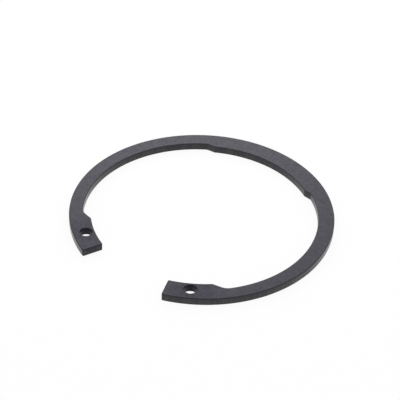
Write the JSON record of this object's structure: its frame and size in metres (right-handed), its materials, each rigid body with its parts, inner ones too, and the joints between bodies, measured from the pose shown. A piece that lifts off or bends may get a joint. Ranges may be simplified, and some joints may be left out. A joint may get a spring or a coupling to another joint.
{
  "type": "internal retaining ring",
  "caption": "Flat open ring of dark spring steel with a stepped inner edge and a plier hole in each lug, sprung into a groove inside a bore to hold what sits in it",
  "frame": {"origin": "on the axis of the rim, on the bottom face", "axes": "+Z along the ring's axis, out of the top face; -Y points through the middle of the gap between the lugs; +X completes the frame"},
  "size_m": [0.1004, 0.0967, 0.003],
  "materials": {
    "phosphated_steel": "dark grey phosphate coating with a thin film of oil, satin"
  },
  "bodies": {
    "root": {"retaining_ring": "phosphated_steel"}
  },
  "joints": []
}
